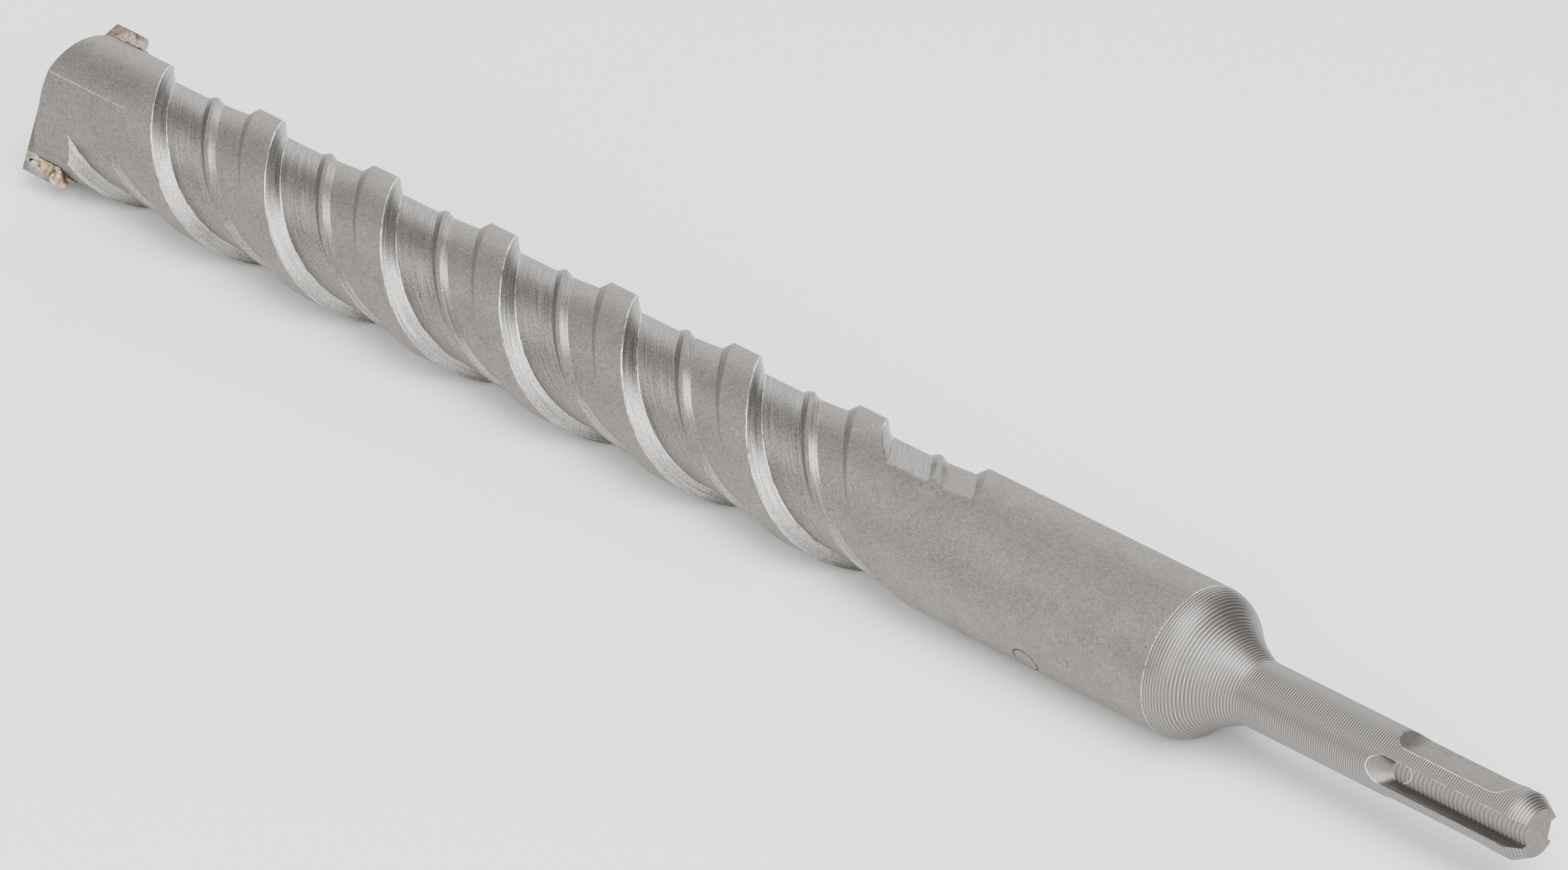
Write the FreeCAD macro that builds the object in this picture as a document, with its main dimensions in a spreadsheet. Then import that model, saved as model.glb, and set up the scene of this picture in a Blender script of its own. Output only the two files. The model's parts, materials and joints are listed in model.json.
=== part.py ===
import FreeCAD, Part
import Sketcher
import math
import os

# Masonry drill bit with a 10 mm grooved shank, two helical flutes and a brazed carbide plate.
# Each piece is drawn upright: +Z runs from the shank's rear end face to the tip, and the carbide
# plate lies along X. A placement then lays the whole bit down with its tip towards -X.
V = FreeCAD.Vector
doc = FreeCAD.newDocument("drill_bit")

# Driving dimensions, in millimetres and degrees
SIZES = [
    ("overall_length", 309.0),
    ("body_diameter", 23.0),
    ("plain_body_length", 63.2),
    ("rim_below_tip", 8.0),
    ("half_point_angle", 67.0),
    # shank, and the flare that joins it to the body: a hollow arc, then a round one
    ("shank_diameter", 10.0),
    ("shank_length", 51.6),
    ("end_chamfer_width", 1.35),
    ("end_chamfer_length", 2.4),
    ("flare_turn_diameter", 19.5),
    ("flare_hollow_length", 7.8),
    ("flare_hollow_radius", 22.0),
    ("flare_round_length", 4.2),
    ("flare_round_radius", 6.5),
    # two open drive grooves: a flat floor, flared walls and a sloped, rounded end
    ("drive_angle", 56.0),
    ("drive_depth", 2.7),
    ("drive_mouth_margin", 0.2),
    ("drive_floor_width", 3.0),
    ("drive_floor_length", 24.6),
    ("drive_mouth_width", 4.7),
    ("drive_mouth_length", 27.7),
    # two closed locking grooves, a quarter turn from the drive grooves
    ("lock_depth", 1.6),
    ("lock_floor_radius", 12.0),
    ("lock_start", 4.6),
    ("lock_end", 25.6),
    ("lock_end_radius", 3.0),
    # two right-hand flutes; sizes across a flute are measured along the axis, from the edge
    # where the land in front of it drops away
    ("lead", 52.2),
    ("land_width", 5.7),
    ("flute_depth", 2.05),
    ("wall_run", 1.9),
    ("ridge_foot", 9.9),
    ("ridge_rise_run", 1.2),
    ("ridge_top_width", 0.8),
    ("ridge_fall_run", 1.5),
    ("ridge_height", 0.7),
    ("second_floor_depth", 1.9),
    ("second_floor_lift", 0.35),
    ("rise_run", 1.6),
    ("cut_margin", 1.5),
    ("flute_head_angle", 35.8),
    ("flute_below_tip", 14.5),
    ("run_in_height", 8.3),
    ("run_out_height", 4.4),
    ("cutter_clearance", 0.25),
    # flats that carry the flutes out through the front of the head
    ("flat_angle", 58.5),
    ("flat_depth", 1.9),
    ("flat_below_tip", 25.0),
    # carbide plate, with clearance behind its cutting edges, and the braze that fills its slot
    ("plate_overhang", 2.5),
    ("plate_height", 11.1),
    ("plate_thickness", 3.6),
    ("plate_rear_chamfer", 0.8),
    ("relief_drop", 0.8),
    ("side_relief", 0.5),
    ("braze_gap", 0.15),
    ("braze_proud", 0.35),
    ("braze_fillet_width", 0.7),
    ("braze_heel", 1.9),
    # how far the plate is rolled from the upright where the bit lies
    ("rest_roll_angle", 48.0),
]
sheet = doc.addObject("Spreadsheet::Sheet", "Sizes")
for row, (alias, value) in enumerate(SIZES, start=1):
    sheet.set("A%d" % row, alias)
    sheet.set("B%d" % row, str(value))
    sheet.setAlias("B%d" % row, alias)
doc.recompute()


class Dim:
    """A number worked out from the sheet's sizes, with the expression that keeps it tied."""

    def __init__(self, value, text=None):
        self.value = float(value)
        self.text = text or "(%s)" % self.value

    def __add__(self, other):
        return Dim(self.value + other.value, "(%s + %s)" % (self.text, other.text))

    def __sub__(self, other):
        return Dim(self.value - other.value, "(%s - %s)" % (self.text, other.text))

    def __neg__(self):
        return Dim(-self.value, "(-1 * %s)" % self.text)

    def __mul__(self, other):
        return Dim(self.value * other.value, "(%s * %s)" % (self.text, other.text))

    def __truediv__(self, other):
        return Dim(self.value / other.value, "(%s / %s)" % (self.text, other.text))


def size(alias):
    """Return one size on the sheet."""
    return Dim(dict(SIZES)[alias], "Sizes." + alias)


def sine(angle):
    return Dim(math.sin(math.radians(angle.value)), "sin(%s * 1deg)" % angle.text)


def cosine(angle):
    return Dim(math.cos(math.radians(angle.value)), "cos(%s * 1deg)" % angle.text)


ZERO = Dim(0)
HALF = Dim(0.5)
TWO = Dim(2)
QUARTER_TURN = Dim(90)
FULL_TURN = Dim(360)

BODY_RADIUS = size("body_diameter") * HALF
SHANK_RADIUS = size("shank_diameter") * HALF
PLATE_RADIUS = BODY_RADIUS + size("plate_overhang")
POINT_SLOPE = cosine(size("half_point_angle")) / sine(size("half_point_angle"))
TIP = size("overall_length")
RIM = TIP - size("rim_below_tip")
FLARE_TURN = size("shank_length") + size("flare_hollow_length")
BODY_START = FLARE_TURN + size("flare_round_length")
FLUTE_HEAD = TIP - size("flute_below_tip")
FLUTE_RUN = FLUTE_HEAD - BODY_START - size("plain_body_length")
CUT_RADIUS = BODY_RADIUS + size("cut_margin")
PLATE_REAR = TIP - size("plate_height")
SLOT_FLOOR = PLATE_REAR - size("braze_gap")
SLOT_WIDTH = size("plate_thickness") + size("braze_gap") * TWO


def origin(body, role):
    """Return a plane or an axis of the body's own origin."""
    return next(part for part in body.Origin.OriginFeatures if part.Role == role)


def new_sketch(body, name, plane, turn=ZERO, out=ZERO, side=ZERO):
    """Attach a sketch to an upright plane that is turned about Z.

    out moves it along its own normal and side along its own X.
    """
    sketch = body.newObject("Sketcher::SketchObject", name)
    sketch.AttachmentSupport = [(origin(body, plane), "")]
    sketch.MapMode = "FlatFace"
    sketch.AttachmentOffset = FreeCAD.Placement(V(0, 0, 0), FreeCAD.Rotation(V(0, 1, 0), 1.0))
    shift_x = out * sine(turn) + side * cosine(turn)
    shift_z = out * cosine(turn) - side * sine(turn)
    sketch.setExpression("AttachmentOffset.Rotation.Angle", turn.text + " * 1deg")
    sketch.setExpression("AttachmentOffset.Base.x", shift_x.text + " * 1mm")
    sketch.setExpression("AttachmentOffset.Base.z", shift_z.text + " * 1mm")
    return sketch


def arc_between(start, end, radius, bulge):
    """Return an arc between two points; bulge 1 puts its middle on the left, -1 on the right."""
    chord = end.sub(start)
    rise = radius - math.sqrt(radius ** 2 - (chord.Length / 2) ** 2)
    left = V(-chord.y, chord.x, 0).normalize()
    middle = start.add(end).multiply(0.5).add(left.multiply(bulge * rise))
    return Part.Arc(start, middle, end)


def hold(sketch, kind, edge, point, place):
    """Tie one coordinate of an edge's end to a size, on either side of the sketch's origin."""
    if abs(place.value) < 1e-9:
        axis = -2 if kind == "DistanceX" else -1
        sketch.addConstraint(Sketcher.Constraint("PointOnObject", edge, point, axis))
    elif place.value > 0:
        index = sketch.addConstraint(Sketcher.Constraint(kind, -1, 1, edge, point, place.value))
        sketch.setExpression("Constraints[%d]" % index, place.text)
    else:
        index = sketch.addConstraint(Sketcher.Constraint(kind, edge, point, -1, 1, -place.value))
        sketch.setExpression("Constraints[%d]" % index, (-place).text)


def draw_outline(sketch, corners, arcs=None):
    """Draw a closed outline through the corners; arcs maps an edge to its (radius, bulge)."""
    arcs = arcs or {}
    places = [V(x.value, y.value, 0) for x, y in corners]
    ends = []
    for edge, start in enumerate(places):
        end = places[(edge + 1) % len(places)]
        if edge in arcs:
            radius, bulge = arcs[edge]
            sketch.addGeometry(arc_between(start, end, radius.value, bulge))
        else:
            sketch.addGeometry(Part.LineSegment(start, end))
        runs_forward = sketch.getPoint(edge, 1).distanceToPoint(start) < 1e-6
        ends.append((1, 2) if runs_forward else (2, 1))
    for edge, (x, y) in enumerate(corners):
        before = (edge - 1) % len(corners)
        first = ends[edge][0]
        sketch.addConstraint(Sketcher.Constraint("Coincident", before, ends[before][1], edge, first))
        hold(sketch, "DistanceX", edge, first, x)
        hold(sketch, "DistanceY", edge, first, y)
    for edge, (radius, _) in arcs.items():
        index = sketch.addConstraint(Sketcher.Constraint("Radius", edge, radius.value))
        sketch.setExpression("Constraints[%d]" % index, radius.text)


def turn_blank(body):
    """Turn the round blank: chamfered shank, flare, plain body and the cone of the head."""
    sketch = new_sketch(body, "BlankOutline", "XZ_Plane")
    corners = [
        (ZERO, ZERO),
        (SHANK_RADIUS - size("end_chamfer_width"), ZERO),
        (SHANK_RADIUS, size("end_chamfer_length")),
        (SHANK_RADIUS, size("shank_length")),
        (size("flare_turn_diameter") * HALF, FLARE_TURN),
        (BODY_RADIUS, BODY_START),
        (BODY_RADIUS, RIM),
        (ZERO, RIM + BODY_RADIUS * POINT_SLOPE),
    ]
    hollow = (size("flare_hollow_radius"), 1)
    rounded = (size("flare_round_radius"), -1)
    draw_outline(sketch, corners, {3: hollow, 4: rounded})
    blank = body.newObject("PartDesign::Revolution", "Blank")
    blank.Profile = sketch
    blank.ReferenceAxis = (origin(body, "Z_Axis"), [""])
    blank.Angle = 360


def cut_drive_groove(body):
    """Loft one open groove from its floor out to its wider, longer mouth."""
    sections = []
    levels = {"floor": SHANK_RADIUS - size("drive_depth"),
              "mouth": SHANK_RADIUS + size("drive_mouth_margin")}
    for level, distance in levels.items():
        half = size("drive_%s_width" % level) * HALF
        length = size("drive_%s_length" % level)
        before_face = -size("end_chamfer_length")
        sketch = new_sketch(body, "Drive" + level.title(), "YZ_Plane", size("drive_angle"), distance)
        corners = [
            (-half, before_face),
            (half, before_face),
            (half, length - half),
            (ZERO, length),
            (-half, length - half),
        ]
        draw_outline(sketch, corners, {2: (half, -1), 3: (half, -1)})
        sections.append(sketch)
    groove = body.newObject("PartDesign::SubtractiveLoft", "DriveGroove")
    groove.Profile = sections[0]
    groove.Sections = [sections[1]]
    groove.Ruled = True
    return groove


def cut_lock_groove(body):
    """Turn one closed groove about an axis beside the shank, which hollows its floor."""
    reach = SHANK_RADIUS - size("lock_depth") + size("lock_floor_radius")
    angle = size("drive_angle") + QUARTER_TURN
    sketch = new_sketch(body, "LockOutline", "XZ_Plane", angle, ZERO, reach)
    floor = -size("lock_floor_radius")
    top = floor + size("lock_end_radius")
    corners = [
        (top, size("lock_start")),
        (top, size("lock_end")),
        (floor, size("lock_end") - size("lock_end_radius")),
        (floor, size("lock_start") + size("lock_end_radius")),
    ]
    rounded = (size("lock_end_radius"), -1)
    draw_outline(sketch, corners, {1: rounded, 3: rounded})
    groove = body.newObject("PartDesign::Groove", "LockGroove")
    groove.Profile = sketch
    groove.ReferenceAxis = (sketch, ["V_Axis"])
    groove.Angle = 360
    return groove


def draw_flute(body, name, turn, height):
    """Draw a flute's section in a plane through the axis: wall, floor, ridge, floor and rise."""
    sketch = new_sketch(body, name, "XZ_Plane", turn)
    floor = BODY_RADIUS - size("flute_depth")
    ridge = floor + size("ridge_height")
    ridge_start = size("ridge_foot") + size("ridge_rise_run")
    ridge_end = ridge_start + size("ridge_top_width")
    second_floor = BODY_RADIUS - size("second_floor_depth")
    second_floor_end = second_floor + size("second_floor_lift")
    width = size("lead") * HALF - size("land_width")
    wall_beyond = size("cut_margin") * size("wall_run") / size("flute_depth")
    rise_depth = size("second_floor_depth") - size("second_floor_lift")
    rise_beyond = size("cut_margin") * size("rise_run") / rise_depth
    across = [
        (CUT_RADIUS, -wall_beyond),
        (floor, size("wall_run")),
        (floor, size("ridge_foot")),
        (ridge, ridge_start),
        (ridge, ridge_end),
        (second_floor, ridge_end + size("ridge_fall_run")),
        (second_floor_end, width - size("rise_run")),
        (CUT_RADIUS, width + rise_beyond),
    ]
    draw_outline(sketch, [(radius, height - run) for radius, run in across])
    return sketch


def sweep_flute(body, name, sketch, height, downwards, lift=None):
    """Screw the section along the axis; a lift draws it out of the body along a cone."""
    flute = body.newObject("PartDesign::SubtractiveHelix", name)
    flute.Profile = sketch
    flute.ReferenceAxis = (origin(body, "Z_Axis"), [""])
    flute.Mode = "pitch-height-angle"
    flute.setExpression("Pitch", size("lead").text)
    flute.setExpression("Height", height.text)
    flute.Reversed = downwards
    if lift:
        flute.setExpression("Angle", "atan(%s)" % (lift / height).text)
    return flute


def cut_flute(body):
    """Cut one flute: its even length, its run-in at the head and its run-out on the body."""
    end_turn = size("flute_head_angle") - FULL_TURN * FLUTE_RUN / size("lead")
    head = draw_flute(body, "FluteAtHead", size("flute_head_angle"), FLUTE_HEAD)
    end = draw_flute(body, "FluteAtEnd", end_turn, FLUTE_HEAD - FLUTE_RUN)
    lift = size("flute_depth") + size("cutter_clearance")
    return [
        sweep_flute(body, "Flute", head, FLUTE_RUN, True),
        sweep_flute(body, "RunIn", head, size("run_in_height"), False, lift),
        sweep_flute(body, "RunOut", end, size("run_out_height"), True, lift),
    ]


def cut_head_flat(body):
    """Mill one flat beside the slot, from the front of the head down to the flute's floor."""
    sketch = new_sketch(body, "FlatOutline", "XZ_Plane", size("flat_angle"))
    distance = BODY_RADIUS - size("flat_depth")
    foot = TIP - size("flat_below_tip")
    draw_outline(sketch, [(distance, foot), (CUT_RADIUS, foot), (CUT_RADIUS, TIP), (distance, TIP)])
    flat = body.newObject("PartDesign::Pocket", "HeadFlat")
    flat.Profile = sketch
    flat.SideType = "Symmetric"
    flat.setExpression("Length", size("body_diameter").text)
    return flat


def cut_plate_slot(body):
    """Saw the slot for the carbide plate right across the head."""
    sketch = new_sketch(body, "SlotOutline", "YZ_Plane")
    half = SLOT_WIDTH * HALF
    draw_outline(sketch, [(-half, SLOT_FLOOR), (half, SLOT_FLOOR), (half, TIP), (-half, TIP)])
    slot = body.newObject("PartDesign::Pocket", "PlateSlot")
    slot.Profile = sketch
    slot.SideType = "Symmetric"
    slot.setExpression("Length", (CUT_RADIUS * TWO).text)
    return slot


def make_drill_body():
    """Make the steel body from one bar: turned, milled and slotted."""
    body = doc.addObject("PartDesign::Body", "drill_body")
    turn_blank(body)
    cuts = [cut_drive_groove(body), cut_lock_groove(body)]
    cuts += cut_flute(body)
    cuts.append(cut_head_flat(body))
    pairs = body.newObject("PartDesign::PolarPattern", "Pairs")
    pairs.Originals = cuts
    pairs.Axis = (origin(body, "Z_Axis"), [""])
    pairs.Angle = 360
    pairs.Occurrences = 2
    body.Tip = pairs
    body.Tip = cut_plate_slot(body)
    return body


def plate_corners(cutting_side):
    """Return the plate's outline on one face; it cuts on the X side of the given sign."""
    shift = size("relief_drop") / POINT_SLOPE * HALF
    cutting = PLATE_RADIUS
    relieved = PLATE_RADIUS - size("side_relief")
    cutting_corner = TIP - (cutting - shift) * POINT_SLOPE
    relieved_corner = TIP - (relieved + shift) * POINT_SLOPE
    if cutting_side > 0:
        right, right_corner, left, left_corner = cutting, cutting_corner, relieved, relieved_corner
    else:
        right, right_corner, left, left_corner = relieved, relieved_corner, cutting, cutting_corner
    apex = shift if cutting_side > 0 else -shift
    chamfer = size("plate_rear_chamfer")
    return [
        (-(left - chamfer), PLATE_REAR),
        (right - chamfer, PLATE_REAR),
        (right, PLATE_REAR + chamfer),
        (right, right_corner),
        (apex, TIP),
        (-left, left_corner),
        (-left, PLATE_REAR + chamfer),
    ]


def make_carbide_plate():
    """Make the sintered plate: a roof with a cutting edge on each leading face."""
    body = doc.addObject("PartDesign::Body", "carbide_plate")
    half = size("plate_thickness") * HALF
    faces = []
    for name, distance, cutting_side in (("FrontFace", half, -1), ("BackFace", -half, 1)):
        sketch = new_sketch(body, name, "XZ_Plane", ZERO, distance)
        draw_outline(sketch, plate_corners(cutting_side))
        faces.append(sketch)
    plate = body.newObject("PartDesign::AdditiveLoft", "Plate")
    plate.Profile = faces[0]
    plate.Sections = [faces[1]]
    plate.Ruled = True
    body.Tip = plate
    return body


def laid_down(x, y, z):
    """Return the laying placement of something drawn upright at the given place."""
    return lay.multiply(FreeCAD.Placement(V(x.value, y.value, z.value), FreeCAD.Rotation()))


def make_braze_joint(steel, plate):
    """Make the braze: what fills the slot round the plate, and the fillet along its edges."""
    outer_radius = BODY_RADIUS + size("braze_proud")
    heel = SLOT_FLOOR - size("braze_heel")
    width = SLOT_WIDTH + size("braze_fillet_width") * TWO
    sleeve = doc.addObject("Part::Cylinder", "BrazeSleeve")
    sleeve.setExpression("Radius", outer_radius.text)
    sleeve.setExpression("Height", (RIM - heel).text)
    sleeve.Placement = laid_down(ZERO, ZERO, heel)
    cap = doc.addObject("Part::Cone", "BrazeCap")
    cap.setExpression("Radius1", outer_radius.text)
    cap.Radius2 = 0
    cap.setExpression("Height", (outer_radius * POINT_SLOPE).text)
    cap.Placement = laid_down(ZERO, ZERO, RIM)
    envelope = doc.addObject("Part::Fuse", "BrazeEnvelope")
    envelope.Base = sleeve
    envelope.Tool = cap
    strip = doc.addObject("Part::Box", "BrazeStrip")
    strip.setExpression("Length", (PLATE_RADIUS * TWO).text)
    strip.setExpression("Width", width.text)
    strip.setExpression("Height", (TIP - heel).text)
    strip.Placement = laid_down(-PLATE_RADIUS, -width * HALF, heel)
    filler = doc.addObject("Part::Common", "BrazeFiller")
    filler.Base = envelope
    filler.Tool = strip
    outside = doc.addObject("Part::Cut", "BrazeOutsideSteel")
    outside.Base = filler
    outside.Tool = steel
    braze = doc.addObject("Part::Cut", "braze_joint")
    braze.Base = outside
    braze.Tool = plate
    return braze


# Lay the bit down: its tip towards -X, then rolled about its own axis to where it rests
tip_towards_minus_x = FreeCAD.Rotation(V(0, 1, 0), -QUARTER_TURN.value)
roll = FreeCAD.Rotation(V(1, 0, 0), -size("rest_roll_angle").value)
lay = FreeCAD.Placement(V(0, 0, 0), roll.multiply(tip_towards_minus_x))

drill_body = make_drill_body()
carbide_plate = make_carbide_plate()
drill_body.Placement = lay
carbide_plate.Placement = lay
doc.recompute()
braze_joint = make_braze_joint(drill_body, carbide_plate)
doc.recompute()

for item in doc.Objects:
    if "Invalid" in item.State or "Error" in item.State:
        raise RuntimeError("%s failed: %s" % (item.Name, item.State))

os.makedirs("parts", exist_ok=True)
for node in (drill_body, carbide_plate, braze_joint):
    if node.Shape.isNull() or not node.Shape.isValid():
        raise RuntimeError("%s has no valid shape" % node.Label)
    node.Shape.exportStep("parts/%s.step" % node.Label)
    print(node.Label, len(node.Shape.Solids), "solids", round(node.Shape.Volume, 1), "mm3")
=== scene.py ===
import bpy
import json
import math
import numpy as np
from mathutils import Matrix, Vector


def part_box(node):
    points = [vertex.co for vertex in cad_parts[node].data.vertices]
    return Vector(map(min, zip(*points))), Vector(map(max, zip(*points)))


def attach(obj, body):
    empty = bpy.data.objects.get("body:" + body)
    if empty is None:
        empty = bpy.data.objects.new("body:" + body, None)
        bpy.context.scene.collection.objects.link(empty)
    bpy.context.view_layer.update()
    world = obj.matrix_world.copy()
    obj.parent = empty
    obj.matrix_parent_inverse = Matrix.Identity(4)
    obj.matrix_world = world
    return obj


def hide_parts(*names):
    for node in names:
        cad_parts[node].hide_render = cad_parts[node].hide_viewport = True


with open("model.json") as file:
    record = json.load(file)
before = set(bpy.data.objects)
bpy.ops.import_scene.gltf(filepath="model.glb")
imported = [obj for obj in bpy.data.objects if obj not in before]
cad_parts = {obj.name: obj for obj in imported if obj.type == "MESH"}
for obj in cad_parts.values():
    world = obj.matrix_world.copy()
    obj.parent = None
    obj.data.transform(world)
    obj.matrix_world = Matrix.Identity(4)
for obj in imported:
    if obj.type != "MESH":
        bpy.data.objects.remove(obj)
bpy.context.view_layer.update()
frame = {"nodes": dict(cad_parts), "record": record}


# The bar
# One bar of hardened alloy steel makes the shank, the flare and the body. The shank and the
# flare are turned, the two flutes are milled, and the body, head and flutes are then blasted.
MM = 0.001
steel_low, steel_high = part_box("drill_body")
plate_low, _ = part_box("carbide_plate")
mounts = {mount["name"]: mount for mount in frame["record"]["mounts"]}
BODY_RADIUS = round(steel_high.z / MM, 1)
SHANK_RADIUS = mounts["shank"]["dims"]["r_mm"]
TIP = round(-plate_low.x / MM, 1)
REST_ROLL = 48.0
CHAMFER_WIDTH = 1.35
CHAMFER_LENGTH = 2.4
SHANK_LENGTH = 51.6
FLARE_TURN = (59.4, 9.75)
FLARE_HOLLOW_RADIUS = 22.0
FLARE_ROUND_RADIUS = 6.5
BODY_START = 63.6
BODY_EDGE = 0.12
RIM_BEHIND_TIP = 8.0
RIM = TIP - RIM_BEHIND_TIP
HALF_POINT_ANGLE = 67
POINT_SLOPE = math.tan(math.radians(90 - HALF_POINT_ANGLE))
CONE_TIP = RIM + BODY_RADIUS * POINT_SLOPE


def on_arc(x, start, end, radius, side):
    """Return an arc's height at x; side 1 bows it up between its ends, -1 bows it down."""
    half_x = (end[0] - start[0]) / 2
    half_y = (end[1] - start[1]) / 2
    half_chord = math.hypot(half_x, half_y)
    back = side * math.sqrt(radius ** 2 - half_chord ** 2) / half_chord
    centre_x = start[0] + half_x + back * half_y
    centre_y = start[1] + half_y - back * half_x
    return centre_y + side * np.sqrt(np.maximum(radius ** 2 - (x - centre_x) ** 2, 0))


def blank_radius(x):
    """Return the turned bar's radius at a distance x from the shank's end face."""
    chamfer = SHANK_RADIUS - CHAMFER_WIDTH * (1 - x / CHAMFER_LENGTH)
    shank_end = (SHANK_LENGTH, SHANK_RADIUS)
    body_start = (BODY_START, BODY_RADIUS)
    hollow = on_arc(x, shank_end, FLARE_TURN, FLARE_HOLLOW_RADIUS, -1)
    rounded = on_arc(x, FLARE_TURN, body_start, FLARE_ROUND_RADIUS, 1)
    cone = (CONE_TIP - x) / POINT_SLOPE
    places = [x < CHAMFER_LENGTH, x < SHANK_LENGTH, x < FLARE_TURN[0], x < BODY_START, x < RIM]
    return np.select(places, [chamfer, SHANK_RADIUS, hollow, rounded, BODY_RADIUS], cone)


# The flutes: across each one, from the edge where the land in front of it drops away towards
# the shank, run a steep wall, a floor, a low ridge, a second floor and a rise to the next land.
LEAD = 52.2
STARTS = 2
FLUTE_PITCH = LEAD / STARTS
RISE_PER_DEGREE = LEAD / 360
DROP_BEHIND_TIP = 19.69
DROP_AT_PLATE = TIP - DROP_BEHIND_TIP
ACROSS = [0, 1.9, 9.9, 11.1, 11.9, 13.4, 18.8, 20.4, FLUTE_PITCH]
DEPTHS = [0, 2.05, 2.05, 1.35, 1.35, 1.9, 1.55, 0, 0]
EDGE_ROUNDING = 0.04
COLUMN_WIDTH = 0.6
WALL_COLUMN_WIDTH = 0.2
TWIST_START = 100.0
RUN_IN_ANGLE = 35.8
RUN_IN_SPREAD = 57.2
RIDGE_RUN_IN_ANGLE = 56.0
RIDGE_RUN_IN_SPREAD = 36.0
RUN_OUT_START = 126.8
RUN_OUT_LENGTH = 4.4
CUTTER_LIFT = 2.3
FLAT_ANGLE = 58.5
FLAT_DISTANCE = 9.6
FLAT_REACH = 60.0
FLAT_EDGE = math.degrees(math.acos(FLAT_DISTANCE / BODY_RADIUS))
HEAD_START = 272.0
RIM_BAND = 0.6
BURR_HEIGHT = 0.05
BURR_WIDTH = 0.24
BURR_LONG_WAVE = 1.7
BURR_SHORT_WAVE = 4.3
BURR_REACH = 0.2
LIP_BLEND = 0.06
FLAT_BLEND = 0.03
LAND_BEFORE = 1.0


def softer_least(first, second, blend):
    """Return the lesser of two heights, with the corner between them rounded off."""
    gap = np.clip((blend - np.abs(first - second)) / blend, 0, 1)
    return np.minimum(first, second) - gap ** 2 * blend / 4


def lift_of_cutter(x, run, angle):
    """Return how far the milling cutter is drawn out of the bar, at its start and its end."""
    first = np.interp(run, [ACROSS[3], ACROSS[4]], [RUN_IN_ANGLE, RIDGE_RUN_IN_ANGLE])
    spread_over = np.interp(run, [ACROSS[3], ACROSS[4]], [RUN_IN_SPREAD, RIDGE_RUN_IN_SPREAD])
    start = CUTTER_LIFT * np.clip((angle - first) / spread_over, 0, None)
    beyond = np.clip((RUN_OUT_START - x - run) / RUN_OUT_LENGTH, 0, None)
    return start + CUTTER_LIFT * beyond ** 2


def flute_radius(x, run, angle):
    """Return the milled radius; run is the place across the flute, angle the cutter's turn."""
    depth = np.interp(run, ACROSS, DEPTHS) - lift_of_cutter(x, run, angle)
    burr = np.interp(np.abs(run), [0, BURR_WIDTH], [BURR_HEIGHT, 0])
    broken = 0.5 + 0.3 * np.sin(x * BURR_LONG_WAVE) + 0.2 * np.sin(x * BURR_SHORT_WAVE + 1)
    in_flute = depth > -BURR_REACH
    return softer_least(BODY_RADIUS - depth, BODY_RADIUS + burr * broken * in_flute, LIP_BLEND)


def flat_radius(x, clock):
    """Return the radius of the flat that carries each flute out through the head."""
    off = (clock - FLAT_ANGLE + 90) % 180 - 90
    run = DROP_AT_PLATE + RISE_PER_DEGREE * (FLAT_ANGLE + off) - x
    ramp = np.clip(run - ACROSS[6], 0, None) * DEPTHS[6] / (ACROSS[7] - ACROSS[6])
    flat = FLAT_DISTANCE / np.cos(np.radians(np.clip(off, -FLAT_REACH, FLAT_REACH)))
    return flat + ramp


def brought_to_flat_edge(x, across):
    """Move the nearest column of each ring of the head onto the long edge of its flat."""
    clock = (x + across - DROP_AT_PLATE) / RISE_PER_DEGREE
    off = (clock - FLAT_ANGLE + 90) % 180 - 90
    miss = (off - FLAT_EDGE) * RISE_PER_DEGREE
    near = (np.abs(miss) <= COLUMN_WIDTH / 2) & (x > DROP_AT_PLATE - ACROSS[3]) & (x < RIM + 1)
    return np.where(near, across - miss, across)


def spread(low, high, step):
    """Return evenly spaced stations from low up to high, without high itself."""
    return np.linspace(low, high, max(1, math.ceil((high - low) / step)), endpoint=False)


def stations_along_bar():
    """Return the stations of the bar's rings, closer together where the shape needs them."""
    stretches = [
        (0, CHAMFER_LENGTH, 0.6),
        (CHAMFER_LENGTH, SHANK_LENGTH, 1.2),
        (SHANK_LENGTH, BODY_START - BODY_EDGE, 0.4),
        (BODY_START - BODY_EDGE, BODY_START, BODY_EDGE),
        (BODY_START, RUN_OUT_START - ACROSS[7] - RUN_OUT_LENGTH, 2.0),
        (RUN_OUT_START - ACROSS[7] - RUN_OUT_LENGTH, RUN_OUT_START, 0.2),
        (RUN_OUT_START, HEAD_START, 0.7),
        (HEAD_START, RIM, 0.2),
        (RIM, RIM + RIM_BAND, 0.1),
        (RIM + RIM_BAND, CONE_TIP, 0.4),
    ]
    rings = np.concatenate([spread(*stretch) for stretch in stretches])
    return np.concatenate([[0], rings, [CONE_TIP]])


def columns_round_bar():
    """Return the bar's columns as places across both flutes, close together at each corner."""
    places = []
    for corner, after in zip(ACROSS[:-1], ACROSS[1:]):
        places += [corner - EDGE_ROUNDING, corner + EDGE_ROUNDING]
        inner_low = corner + 3 * EDGE_ROUNDING
        inner_high = after - 3 * EDGE_ROUNDING
        width = WALL_COLUMN_WIDTH if corner == 0 else COLUMN_WIDTH
        if inner_high > inner_low:
            places += list(spread(inner_low, inner_high, width)) + [inner_high]
    places += [FLUTE_PITCH - BURR_WIDTH, FLUTE_PITCH - BURR_WIDTH / 2]
    one_flute = np.array(sorted(places))
    both = [one_flute + start * FLUTE_PITCH for start in range(STARTS)]
    return np.concatenate(both + [one_flute[:1] + LEAD])


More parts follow.
